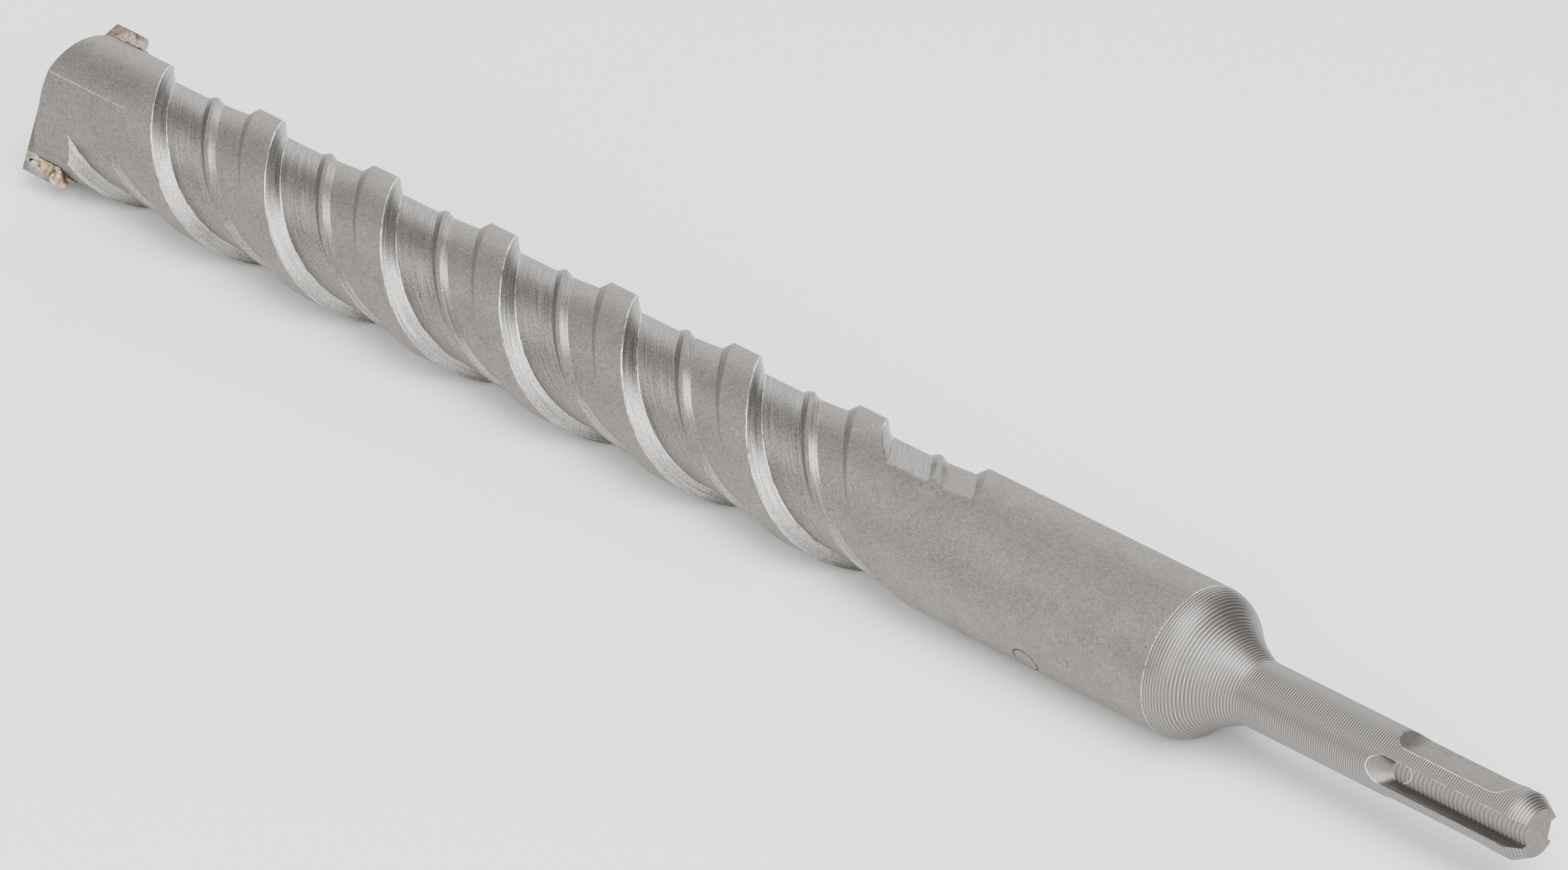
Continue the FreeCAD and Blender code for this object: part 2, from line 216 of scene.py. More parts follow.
def mill_bar():
    """Roll a grid up into the bar and sink the flutes and flats into it."""
    rings = stations_along_bar()
    columns = columns_round_bar()
    bpy.ops.mesh.primitive_grid_add(
        x_subdivisions=len(rings) - 1, y_subdivisions=len(columns) - 1, size=2)
    bar = bpy.context.object
    bar.name = "steel_bar"
    places = np.empty(len(bar.data.vertices) * 3)
    bar.data.vertices.foreach_get("co", places)
    places = places.reshape(-1, 3)
    ring = np.rint((places[:, 0] + 1) / 2 * (len(rings) - 1)).astype(int)
    column = np.rint((places[:, 1] + 1) / 2 * (len(columns) - 1)).astype(int)
    x = rings[ring]
    across = columns[column]
    twisted = np.maximum(x, TWIST_START)
    across = brought_to_flat_edge(x, across)
    run = (across + LAND_BEFORE) % FLUTE_PITCH - LAND_BEFORE
    clock = (twisted + across - DROP_AT_PLATE) / RISE_PER_DEGREE
    turn = (twisted + run - DROP_AT_PLATE) / RISE_PER_DEGREE
    milled = flute_radius(x, run, turn)
    milled = softer_least(milled, flat_radius(x, clock), FLAT_BLEND)
    turned = blank_radius(x)
    radius = np.where(x > TWIST_START, np.minimum(milled, turned + BURR_HEIGHT), turned)
    radius = np.where(x > RIM, np.minimum(radius, turned), radius)
    radius[ring == 0] = 0
    angle = np.radians(clock + REST_ROLL)
    rolled = np.stack([-x, radius * np.sin(angle), radius * np.cos(angle)], axis=1)
    bar.data.vertices.foreach_set("co", (rolled * MM).ravel())
    lay_flute_map(bar, across, x)
    return bar, run, turn, x, radius


def lay_flute_map(bar, across, x):
    """Give the bar a map in millimetres: across the flutes, and along them."""
    helix_stretch = math.hypot(1, 2 * math.pi * BODY_RADIUS / LEAD)
    corners = np.empty(len(bar.data.loops), int)
    bar.data.loops.foreach_get("vertex_index", corners)
    flat_map = np.stack([across[corners], x[corners] * helix_stretch], axis=1)
    while bar.data.uv_layers:
        bar.data.uv_layers.remove(bar.data.uv_layers[0])
    bar.data.uv_layers.new(name="flute_map").data.foreach_set("uv", flat_map.ravel())


def linear(code):
    """Turn an sRGB hex colour into the linear colour that a shader takes."""
    parts = [int(code[i:i + 2], 16) / 255 for i in (1, 3, 5)]
    return [p / 12.92 if p <= 0.04045 else ((p + 0.055) / 1.055) ** 2.4 for p in parts] + [1]


def add_node(tree, kind, inputs=None, stops=None, **settings):
    """Add a node; an input is a value or another node's output, and stops are a ramp's colours."""
    node = tree.nodes.new(kind)
    for name, value in settings.items():
        setattr(node, name, value)
    for name, value in (inputs or {}).items():
        if isinstance(value, bpy.types.NodeSocket):
            tree.links.new(value, node.inputs[name])
        else:
            node.inputs[name].default_value = value
    if stops:
        elements = node.color_ramp.elements
        while len(elements) < len(stops):
            elements.new(0.5)
        for element, (place, code) in zip(elements, stops):
            element.position = place
            element.color = linear(code)
    return node


def new_metal(name, roughness):
    """Start a bare metal; return it, its node tree, its shader and the place on its piece."""
    metal = bpy.data.materials.new(name)
    metal.use_nodes = True
    tree = metal.node_tree
    shader = tree.nodes["Principled BSDF"]
    shader.inputs["Metallic"].default_value = 1.0
    shader.inputs["Roughness"].default_value = roughness
    place = add_node(tree, "ShaderNodeTexCoord").outputs["Object"]
    return metal, tree, shader, place


def on_bar(x, radius, clock):
    """Return the point at x from the shank's end, at a radius and a clock angle."""
    angle = math.radians(clock + REST_ROLL)
    return Vector((-x, radius * math.sin(angle), radius * math.cos(angle))) * MM


def ring_line(tree, place, centre, radius, width):
    """Return the mask of a thin ring that lies on the surface round a point."""
    away = add_node(tree, "ShaderNodeVectorMath", {0: place, 1: centre}, operation="DISTANCE")
    off = add_node(tree, "ShaderNodeMath", {0: away.outputs["Value"], 1: radius * MM},
                   operation="SUBTRACT")
    gap = add_node(tree, "ShaderNodeMath", {0: off.outputs[0]}, operation="ABSOLUTE")
    line = add_node(tree, "ShaderNodeMapRange",
                    {"Value": gap.outputs[0], "From Min": width * MM / 4,
                     "From Max": width * MM / 2, "To Min": 1.0, "To Max": 0.0})
    return line.outputs[0]


# Blasted steel: shot leaves a fine even pitting, so it reflects softly, like warm grey stone,
# with dark pits and light flecks. Its grains are drawn 0.25 mm wide, coarser than the shot.
GRAIN = 0.25 * MM
FLECK = 0.8 * MM
CLOUD = 6 * MM
# A painted highlight runs along the long edge of each flat on the head.
FLAT_HIGHLIGHT_WIDTH = 0.1
FLAT_HIGHLIGHT_END = 283.5


def blasted_steel(name, pit, face, fleck, with_flat_highlight=False):
    """Make blasted steel, plain or with a painted highlight along the edge of the head's flats."""
    metal, tree, shader, place = new_metal(name, roughness=0.56)
    grain = add_node(tree, "ShaderNodeTexNoise",
                     {"Vector": place, "Scale": 1 / GRAIN, "Detail": 4.0, "Roughness": 0.75})
    patch = add_node(tree, "ShaderNodeTexNoise",
                     {"Vector": place, "Scale": 1 / FLECK, "Detail": 4.0})
    cloud = add_node(tree, "ShaderNodeTexNoise",
                     {"Vector": place, "Scale": 1 / CLOUD, "Detail": 2.0})
    grains = add_node(tree, "ShaderNodeValToRGB", {"Fac": grain.outputs["Fac"]},
                      [(0.3, pit), (0.41, face[0]), (0.59, face[1]), (0.68, fleck)])
    patches = add_node(tree, "ShaderNodeValToRGB", {"Fac": patch.outputs["Fac"]},
                       [(0.3, "#e6e5e4"), (0.5, "#f6f5f4"), (0.68, "#ffffff")])
    clouds = add_node(tree, "ShaderNodeValToRGB", {"Fac": cloud.outputs["Fac"]},
                      [(0.3, "#f4efec"), (0.7, "#fdfefe")])
    speckled = add_node(tree, "ShaderNodeMix",
                        {0: 1.0, 6: grains.outputs["Color"], 7: patches.outputs["Color"]},
                        data_type="RGBA", blend_type="MULTIPLY")
    clouded = add_node(tree, "ShaderNodeMix",
                       {0: 1.0, 6: speckled.outputs[2], 7: clouds.outputs["Color"]},
                       data_type="RGBA", blend_type="MULTIPLY")
    tree.links.new(clouded.outputs[2], shader.inputs["Base Color"])
    bump = add_node(tree, "ShaderNodeBump",
                    {"Height": grain.outputs["Fac"], "Strength": 0.7, "Distance": 0.03 * MM})
    tree.links.new(bump.outputs["Normal"], shader.inputs["Normal"])
    if with_flat_highlight:
        turn = math.radians(FLAT_ANGLE + REST_ROLL)
        level = add_node(tree, "ShaderNodeMapping", {"Vector": place, "Rotation": (turn, 0, 0)})
        parts = add_node(tree, "ShaderNodeSeparateXYZ", {0: level.outputs[0]})
        facing = add_node(tree, "ShaderNodeMath", {0: parts.outputs["Z"]}, operation="SIGN")
        side = add_node(tree, "ShaderNodeMath", {0: parts.outputs["Y"], 1: facing.outputs[0]},
                        operation="MULTIPLY")
        half_flat = math.sqrt(BODY_RADIUS ** 2 - FLAT_DISTANCE ** 2)
        on_edge = add_node(tree, "ShaderNodeMath",
                           {0: side.outputs[0], 1: half_flat * MM, 2: FLAT_HIGHLIGHT_WIDTH * MM / 2},
                           operation="COMPARE")
        line_middle = (FLAT_HIGHLIGHT_END + RIM) / 2
        line_reach = (RIM - FLAT_HIGHLIGHT_END) / 2
        on_head = add_node(tree, "ShaderNodeMath",
                           {0: parts.outputs["X"], 1: -line_middle * MM, 2: line_reach * MM},
                           operation="COMPARE")
        broken = add_node(tree, "ShaderNodeMapRange",
                          {"Value": patch.outputs["Fac"], "From Min": 0.25, "From Max": 0.6})
        on_flat = add_node(tree, "ShaderNodeMath", {0: on_edge.outputs[0], 1: on_head.outputs[0]},
                           operation="MULTIPLY")
        line = add_node(tree, "ShaderNodeMath", {0: on_flat.outputs[0], 1: broken.outputs[0]},
                        operation="MULTIPLY")
        # The flat's edge is painted light: a painted highlight line in the base colour.
        flat_highlighted = add_node(tree, "ShaderNodeMix",
                         {0: line.outputs[0], 6: clouded.outputs[2], 7: linear("#c9c6c3")},
                         data_type="RGBA")
        tree.links.new(flat_highlighted.outputs[2], shader.inputs["Base Color"])
    return metal


# Turned steel: the tool leaves a fine spiral of feed marks, 0.43 mm apart, round the shank and the
# flare, some deeper than others. Their bright threads and dark valleys are painted highlight and
# painted shade in the colour, over their bumps.
FEED_PITCH = 0.43 * MM
FEED_PATCH = (5 * MM, 1.6 * MM, 1.6 * MM)


def turned_steel():
    """Make turned steel with its feed marks across the bar's axis."""
    metal, tree, shader, place = new_metal("turned_steel", roughness=0.46)
    wave_scale = math.pi / (10 * FEED_PITCH)
    feed = add_node(tree, "ShaderNodeTexWave",
                    {"Vector": place, "Scale": wave_scale, "Distortion": 0.8, "Detail": 1.0,
                     "Detail Scale": 0.3},
                    wave_type="BANDS", bands_direction="X", wave_profile="SIN")
    stretched = add_node(tree, "ShaderNodeMapping",
                         {"Vector": place, "Scale": tuple(1 / size for size in FEED_PATCH)})
    patch = add_node(tree, "ShaderNodeTexNoise",
                     {"Vector": stretched.outputs[0], "Scale": 1.0, "Detail": 4.0})
    thread_glints_and_shade = add_node(tree, "ShaderNodeValToRGB", {"Fac": feed.outputs["Fac"]},
                       [(0.05, "#615e5b"), (0.5, "#767370"), (0.92, "#a5a29f")])
    # In random patches the painted highlight and shade of the threads fade to one plain tone.
    thread_glints_faded = add_node(tree, "ShaderNodeValToRGB", {"Fac": patch.outputs["Fac"]},
                    [(0.38, "#000000"), (0.62, "#d0d0d0")])
    shades = add_node(tree, "ShaderNodeMix",
                      {0: thread_glints_faded.outputs["Color"], 6: thread_glints_and_shade.outputs["Color"], 7: linear("#7a7774")},
                      data_type="RGBA")
    tree.links.new(shades.outputs[2], shader.inputs["Base Color"])
    bump = add_node(tree, "ShaderNodeBump",
                    {"Height": feed.outputs["Fac"], "Strength": 0.55, "Distance": 0.06 * MM})
    tree.links.new(bump.outputs["Normal"], shader.inputs["Normal"])
    return metal


# Milled steel: the cutter draws fine lines along the flute. Its steep wall is a lighter copy with
# painted light, so it stays brighter than the blasted surfaces round it, and its keen edges carry
# thin broken lines of painted highlight.
MILL_LINE = 0.2
MILL_STREAK = 12.0
HIGHLIGHT_EDGE_STREAK = 2.0


def milled_steel(name, stops, roughness, streak):
    """Make milled steel with fine lines along the flute, in shades from dark to light."""
    metal, tree, shader, place = new_metal(name, roughness)
    flute_map = add_node(tree, "ShaderNodeUVMap", uv_map="flute_map").outputs["UV"]
    stretched = add_node(tree, "ShaderNodeMapping",
                         {"Vector": flute_map, "Scale": (1 / MILL_LINE, 1 / streak, 1)})
    lines = add_node(tree, "ShaderNodeTexNoise",
                     {"Vector": stretched.outputs["Vector"], "Scale": 1.0, "Detail": 1.5})
    grain = add_node(tree, "ShaderNodeTexNoise",
                     {"Vector": place, "Scale": 1 / GRAIN, "Detail": 3.0})
    shades = add_node(tree, "ShaderNodeValToRGB", {"Fac": lines.outputs["Fac"]}, stops)
    grains = add_node(tree, "ShaderNodeValToRGB", {"Fac": grain.outputs["Fac"]},
                      [(0.35, "#c4c2c0"), (0.6, "#ffffff")])
    speckled = add_node(tree, "ShaderNodeMix",
                        {0: 1.0, 6: shades.outputs["Color"], 7: grains.outputs["Color"]},
                        data_type="RGBA", blend_type="MULTIPLY")
    tree.links.new(speckled.outputs[2], shader.inputs["Base Color"])
    bump = add_node(tree, "ShaderNodeBump",
                    {"Height": lines.outputs["Fac"], "Strength": 0.4, "Distance": 0.05 * MM})
    tree.links.new(bump.outputs["Normal"], shader.inputs["Normal"])
    return metal


BLASTED, TURNED, MILLED_FLOOR, MILLED_WALL_LIT, PAINTED_HIGHLIGHT_EDGE, GROUND_END = range(6)
LEAST_DEPTH = 0.04
OTHER_CUT = 0.06
LIP_DEPTH = 0.1
LEAST_WALL = 0.3
END_FACE = 0.01


def finish_faces(bar, run, turn, x, radius):
    """Give each face of the bar the finish of its part of the drill."""
    floor_shades = [(0.3, "#757270"), (0.5, "#878481"), (0.7, "#9d9a97")]
    # The wall's shades are lighter than the floor's: painted light on a lit copy of the same milled
    # steel.
    lit_wall_shades = [(0.3, "#83807d"), (0.68, "#b5b2af")]
    # The edge finish's near-white shades are a painted highlight.
    highlight_edge_shades = [(0.38, "#7d7976"), (0.52, "#fbf9f7")]
    finishes = [
        blasted_steel("blasted_steel", "#575451", ("#817e7a", "#918e8a"), "#c0bdba",
                      with_flat_highlight=True),
        turned_steel(),
        milled_steel("milled_floor", floor_shades, roughness=0.46, streak=MILL_STREAK),
        milled_steel("milled_wall_painted_lit", lit_wall_shades, roughness=0.38, streak=MILL_STREAK),
        milled_steel("painted_highlight_edge", highlight_edge_shades, roughness=0.35, streak=HIGHLIGHT_EDGE_STREAK),
        blasted_steel("ground_end_steel", "#7a7774", ("#85827f", "#8b8885"), "#9c9996"),
    ]
    for finish in finishes:
        bar.data.materials.append(finish)
    starts = np.empty(len(bar.data.polygons), int)
    bar.data.polygons.foreach_get("loop_start", starts)
    corners = np.empty(len(bar.data.loops), int)
    bar.data.loops.foreach_get("vertex_index", corners)
    four = corners[starts[:, None] + np.arange(4)]
    face_x = x[four].mean(axis=1)
    face_turn = turn[four].mean(axis=1)
    wraps = np.ptp(run[four], axis=1) > FLUTE_PITCH / 2
    face_run = np.where(wraps, FLUTE_PITCH - LAND_BEFORE, run[four].mean(axis=1))
    depth = blank_radius(face_x) - radius[four].mean(axis=1)
    milled = (face_x > TWIST_START) & (face_x < RIM)
    sunk = np.interp(face_run, ACROSS, DEPTHS) - lift_of_cutter(face_x, face_run, face_turn)
    in_flute = milled & (depth > LEAST_DEPTH) & (sunk > depth - OTHER_CUT)
    wall_depth = DEPTHS[1] - lift_of_cutter(face_x, 0, face_turn)
    on_lip = (face_run > -BURR_WIDTH) & (face_run < EDGE_ROUNDING) & (np.abs(depth) < LIP_DEPTH)
    on_foot = (np.abs(face_run - ACROSS[1] - EDGE_ROUNDING) < 2 * EDGE_ROUNDING) & in_flute
    full_cut = face_x > RUN_OUT_START
    edge = milled & full_cut & (wall_depth > LEAST_WALL) & (on_lip | on_foot)
    wall = in_flute & (face_run < ACROSS[1])
    flank = in_flute & (face_run > ACROSS[4]) & (face_run < ACROSS[5])
    floor = in_flute & (face_run >= ACROSS[1]) & (face_run < ACROSS[3])
    body_edge = (face_x > BODY_START - BODY_EDGE) & (face_x < BODY_START)
    finish = np.full(len(four), BLASTED)
    finish[face_x < BODY_START] = TURNED
    finish[floor] = MILLED_FLOOR
    # Walls and flanks take the lighter milled copy, which is painted light.
    finish[wall | flank] = MILLED_WALL_LIT
    # Lips, wall feet and the body's edge at the flare take the edge finish: a painted highlight
    # line.
    finish[edge | body_edge] = PAINTED_HIGHLIGHT_EDGE
    finish[face_x < END_FACE] = GROUND_END
    bar.data.polygons.foreach_set("material_index", finish)


def only(piece):
    """Select one piece alone."""
    bpy.ops.object.select_all(action="DESELECT")
    piece.select_set(True)
    bpy.context.view_layer.objects.active = piece


def close_seams(piece):
    """Merge the points that meet and turn all faces outwards."""
    only(piece)
    bpy.ops.object.mode_set(mode="EDIT")
    bpy.ops.mesh.select_all(action="SELECT")
    bpy.ops.mesh.remove_doubles(threshold=0.002 * MM)
    bpy.ops.mesh.normals_make_consistent(inside=False)
    bpy.ops.object.mode_set(mode="OBJECT")


bpy.ops.object.select_all(action="DESELECT")
bar, run, turn, x, radius = mill_bar()
finish_faces(bar, run, turn, x, radius)
close_seams(bar)


# The shank's grooves: two open ones take the drive keys, and a quarter turn away two closed
# ones take the locking balls. The saw slot for the plate is cut across the head. A drive
# groove's levels, its floor and its mouth, are each a height, a width and a length.
DRIVE_CLOCKS = [56.0, 236.0]
DRIVE_FLOOR = 2.3
DRIVE_LEVELS = [(DRIVE_FLOOR, 3.0, 24.6), (5.2, 4.7, 27.7)]
LOCK_CLOCKS = [146.0, 326.0]
LOCK_FLOOR = 3.4
LOCK_FLOOR_RADIUS = 12.0
LOCK_START = 4.6
LOCK_END = 25.6
LOCK_ROUND = 3.0
SLOT_WIDTH = 3.9
SLOT_DEPTH = 11.25
SLOT_FLOOR = TIP - SLOT_DEPTH
SLOT_OVERSHOOT = 1
GROOVE_EDGE = 0.09
MOUTHS_START = CHAMFER_LENGTH + 0.1
MOUTHS_END = 30.0
MOUTH_RADIUS = 0.9 * SHANK_RADIUS


def turned_to(piece, clock):
    """Turn a piece made at the top of the bar to a clock angle round it."""
    piece.data.transform(Matrix.Rotation(-math.radians(clock + REST_ROLL), 4, "X"))
    return piece


def edit_points(piece, move):
    """Move each point of a piece by a function of its place."""
    for point in piece.data.vertices:
        point.co = move(point.co)


def drive_cutter(clock):
    """Shape the cutter of one drive groove: rounded at its end, wider at its mouth."""
    bpy.ops.mesh.primitive_circle_add(vertices=64, radius=1, fill_type="NGON")
    cutter = bpy.context.object
    bpy.ops.object.mode_set(mode="EDIT")
    bpy.ops.mesh.extrude_region_move(TRANSFORM_OT_translate={"value": (0, 0, 1)})
    bpy.ops.object.mode_set(mode="OBJECT")

    def shape(place):
        height, width, length = DRIVE_LEVELS[round(place.z)]
        half = width / 2
        along = CHAMFER_LENGTH if place.x > 0.001 else half - length + place.x * half
        return Vector((along, place.y * half, height)) * MM

    edit_points(cutter, shape)
    return turned_to(cutter, clock)


def lock_cutter(clock):
    """Shape the barrel that hollows one locking groove."""
    length = (LOCK_END - LOCK_START) * MM
    bpy.ops.mesh.primitive_cylinder_add(vertices=240, radius=LOCK_FLOOR_RADIUS * MM, depth=length)
    cutter = bpy.context.object
    bpy.ops.object.mode_set(mode="EDIT")
    bpy.ops.mesh.select_all(action="DESELECT")
    bpy.ops.mesh.select_mode(type="FACE")
    bpy.ops.object.mode_set(mode="OBJECT")
    for face in cutter.data.polygons:
        face.select = abs(face.normal.z) > 0.9
    bpy.ops.object.mode_set(mode="EDIT")
    bpy.ops.mesh.region_to_loop()
    bpy.ops.mesh.bevel(offset=LOCK_ROUND * MM, segments=12)
    bpy.ops.object.mode_set(mode="OBJECT")
    centre = Vector((-(LOCK_START + LOCK_END) / 2, 0, LOCK_FLOOR + LOCK_FLOOR_RADIUS)) * MM
    cutter.data.transform(Matrix.Translation(centre) @ Matrix.Rotation(math.pi / 2, 4, "Y"))
    return turned_to(cutter, clock)


def slot_cutter():
    """Shape the saw cut that the plate sits in."""
    bpy.ops.mesh.primitive_cube_add(size=1)
    cutter = bpy.context.object
    depth = TIP + SLOT_OVERSHOOT - SLOT_FLOOR
    size = Matrix.Diagonal((depth * MM, SLOT_WIDTH * MM, 4 * BODY_RADIUS * MM, 1))
    centre = Vector((-(SLOT_FLOOR + depth / 2), 0, 0)) * MM
    cutter.data.transform(Matrix.Translation(centre) @ size)
    return turned_to(cutter, 0)


# The pressed ring: a thin round line is struck into the plain body, and bends with its surface.
# Its bottom is painted darker than the blasted steel round it, as painted shade in the groove.
RING_PLACE = 87.3
RING_CLOCK = -168.3
RING_RADIUS = 2.2
RING_WIDTH = 0.28


def ring_cutter():
    """Shape the thin ring that is struck into the body, bent to lie on its surface."""
    bpy.ops.mesh.primitive_torus_add(
        major_segments=96, minor_segments=12,
        major_radius=RING_RADIUS, minor_radius=RING_WIDTH / 2)
    cutter = bpy.context.object

    def lay(place):
        surface = math.sqrt(BODY_RADIUS ** 2 - place.y ** 2)
        return Vector((place.x - RING_PLACE, place.y, place.z + surface)) * MM

    edit_points(cutter, lay)
    return turned_to(cutter, RING_CLOCK)


# End-milled steel: the cutter's edge leaves arcs across the floor of a drive groove, and one
# deeper circle where it was set down. The arcs are drawn 0.8 mm apart, coarser than they are.
# Only the circle's arc away from the groove's closed end is painted light, a painted highlight on
# that side of the mark.
ARC_PITCH = 0.8 * MM
ARC_RADIUS = 2.0 * MM
ARCS_FADE = (0.05, 0.3)
SET_DOWN_X = 22.6
SET_DOWN_RADIUS = 1.35
SET_DOWN_WIDTH = 0.2
CRESCENT_START = 0.3
DRIVE_STREAK = (1 / (6 * MM), 1 / (0.15 * MM), 1 / (0.15 * MM))


def end_milled_steel(clock):
    """Make end-milled steel with the cutter's arcs, for the drive groove at a clock angle."""
    metal, tree, shader, place = new_metal("end_milled_steel", roughness=0.42)
    level = add_node(tree, "ShaderNodeMapping",
                     {"Vector": place, "Rotation": (math.radians(clock + REST_ROLL), 0, 0)})
    parts = add_node(tree, "ShaderNodeSeparateXYZ", {0: level.outputs[0]})
    bow = add_node(tree, "ShaderNodeMath", {0: parts.outputs["Y"], 1: 2.0}, operation="POWER")
    lag = add_node(tree, "ShaderNodeMath",
                   {0: bow.outputs[0], 1: -0.5 / ARC_RADIUS, 2: parts.outputs["X"]},
                   operation="MULTIPLY_ADD")
    along = add_node(tree, "ShaderNodeCombineXYZ", {0: lag.outputs[0]})
    arcs = add_node(tree, "ShaderNodeTexWave",
                    {"Vector": along.outputs[0], "Scale": math.pi / (10 * ARC_PITCH)},
                    wave_type="BANDS", bands_direction="X", wave_profile="SIN")
    on_floor = add_node(tree, "ShaderNodeMapRange",
                        {"Value": parts.outputs["Z"],
                         "From Min": (DRIVE_FLOOR + ARCS_FADE[0]) * MM,
                         "From Max": (DRIVE_FLOOR + ARCS_FADE[1]) * MM,
                         "To Min": 1.0, "To Max": 0.0})
    shades = add_node(tree, "ShaderNodeValToRGB", {"Fac": arcs.outputs["Fac"]},
                      [(0.1, "#787572"), (0.9, "#94918e")])
    drawn = add_node(tree, "ShaderNodeMapping",
                     {"Vector": level.outputs[0], "Scale": DRIVE_STREAK})
    streaks = add_node(tree, "ShaderNodeTexNoise", {"Vector": drawn.outputs[0], "Scale": 1.0})
    sides = add_node(tree, "ShaderNodeValToRGB", {"Fac": streaks.outputs["Fac"]},
                     [(0.35, "#6c6966"), (0.65, "#817e7b")])
    shades = add_node(tree, "ShaderNodeMix",
                      {0: on_floor.outputs[0], 6: sides.outputs["Color"],
                       7: shades.outputs["Color"]},
                      data_type="RGBA")
    set_down = on_bar(SET_DOWN_X, DRIVE_FLOOR, clock)
    circle = ring_line(tree, place, set_down, SET_DOWN_RADIUS, SET_DOWN_WIDTH)
    near_end = add_node(tree, "ShaderNodeMath",
                        {0: parts.outputs["X"], 1: (CRESCENT_START - SET_DOWN_X) * MM},
                        operation="GREATER_THAN")
    crescent_highlight = add_node(tree, "ShaderNodeMath", {0: circle, 1: near_end.outputs[0]},
                        operation="MULTIPLY")
    # The crescent is painted light: a painted highlight on one side of the set-down circle.
    crescent_lit = add_node(tree, "ShaderNodeMix",
                      {0: crescent_highlight.outputs[0], 6: shades.outputs[2], 7: linear("#dedbd7")},
                      data_type="RGBA")
    tree.links.new(crescent_lit.outputs[2], shader.inputs["Base Color"])
    relief = add_node(tree, "ShaderNodeMath", {0: on_floor.outputs[0], 1: 0.3},
                      operation="MULTIPLY")
    bump = add_node(tree, "ShaderNodeBump",
                    {"Height": arcs.outputs["Fac"], "Strength": relief.outputs[0],
                     "Distance": 0.04 * MM})
    tree.links.new(bump.outputs["Normal"], shader.inputs["Normal"])
    return metal


def cut_away(piece, cutters):
    """Cut the joined cutters out of the piece; each one leaves its own finish on what it cuts."""
    bpy.ops.object.select_all(action="DESELECT")
    for cutter in cutters:
        cutter.select_set(True)
    bpy.context.view_layer.objects.active = cutters[0]
    bpy.ops.object.join()
    tool = bpy.context.object
    only(piece)
    bpy.ops.object.modifier_add(type="BOOLEAN")
    cut = piece.modifiers[-1]
    cut.operation = "DIFFERENCE"
    cut.solver = "EXACT"
    cut.material_mode = "TRANSFER"
    cut.object = tool
    bpy.ops.object.modifier_apply(modifier=cut.name)
    bpy.data.objects.remove(tool)


def break_edges(piece, start, end, inner_radius, width):
    """Break the keen edges that lie between two places of the shank, on its outer surface."""
    only(piece)
    bpy.ops.object.mode_set(mode="EDIT")
    bpy.ops.mesh.select_mode(type="EDGE")
    bpy.ops.mesh.select_all(action="DESELECT")
    bpy.ops.mesh.edges_select_sharp(sharpness=math.radians(30))
    bpy.ops.object.mode_set(mode="OBJECT")
    points = piece.data.vertices
    keen = []
    for edge in piece.data.edges:
        ends = [points[i].co / MM for i in edge.vertices]
        on_mouth = all(start < -p.x < end and p.yz.length > inner_radius for p in ends)
        if edge.select and on_mouth:
            keen.append(edge.index)
    bpy.ops.object.mode_set(mode="EDIT")
    bpy.ops.mesh.select_all(action="DESELECT")
    bpy.ops.object.mode_set(mode="OBJECT")
    for index in keen:
        piece.data.edges[index].select = True
    bpy.ops.object.mode_set(mode="EDIT")
    # The bevelled mouth edges take the edge finish, a painted highlight.
    highlight_slot = piece.data.materials.find("painted_highlight_edge")
    bpy.ops.mesh.bevel(offset=width * MM, segments=2, material=highlight_slot)
    bpy.ops.object.mode_set(mode="OBJECT")


cutters = []
for clock in DRIVE_CLOCKS:
    cutters.append(drive_cutter(clock))
    cutters[-1].data.materials.append(end_milled_steel(clock))
for clock in LOCK_CLOCKS:
    cutters.append(lock_cutter(clock))
    cutters[-1].data.materials.append(bpy.data.materials["ground_end_steel"])
cutters.append(slot_cutter())
cutters[-1].data.materials.append(bpy.data.materials["ground_end_steel"])
cutters.append(ring_cutter())
# The ring's finish is blasted steel in darker shades: painted shade in its groove.
cutters[-1].data.materials.append(
    blasted_steel("struck_ring_shaded_steel", "#3f3c3a", ("#54514e", "#615e5b"), "#85827f"))
cut_away(bar, cutters)
break_edges(bar, MOUTHS_START, MOUTHS_END, MOUTH_RADIUS, GROOVE_EDGE)
only(bar)
bpy.ops.object.shade_smooth_by_angle(angle=math.radians(32))
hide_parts("drill_body")
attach(bar, "root")


# The carbide plate is sintered tungsten carbide, ground to a roof with two cutting edges and
# brazed into the slot. Its edges are dark and keen, with only a hair of rounding.
PLATE_HALF_WIDTH = 14.0
SIDE_RELIEF = 0.5
PLATE_HALF_THICKNESS = 1.8
PLATE_LENGTH = 11.1
PLATE_REAR = TIP - PLATE_LENGTH
PLATE_CORNERS = 7
PLATE_CHAMFER = 0.8
RELIEF_DROP = 0.8
EDGE_HAIR = 0.12
FILM_REACH = 13.1
FILM_WANDER = 2.4
FILM_LEAN = -0.03
FILM_FADE = (1.3, 1.5)
FILM_START = (0.7, 0.3)
GROUND_FACING = -0.3


def plate_outline(cutting_side):
    """Return the plate's outline on one face as (across, along) places."""
    shift = RELIEF_DROP / POINT_SLOPE / 2
    cutting = (PLATE_HALF_WIDTH, TIP - (PLATE_HALF_WIDTH - shift) * POINT_SLOPE)
    relieved_width = PLATE_HALF_WIDTH - SIDE_RELIEF
    relieved = (relieved_width, TIP - (relieved_width + shift) * POINT_SLOPE)
    right, left = (cutting, relieved) if cutting_side > 0 else (relieved, cutting)
    return [(PLATE_CHAMFER - left[0], PLATE_REAR), (right[0] - PLATE_CHAMFER, PLATE_REAR),
            (right[0], PLATE_REAR + PLATE_CHAMFER), right,
            (cutting_side * shift, TIP), (-left[0], left[1]),
            (-left[0], PLATE_REAR + PLATE_CHAMFER)]


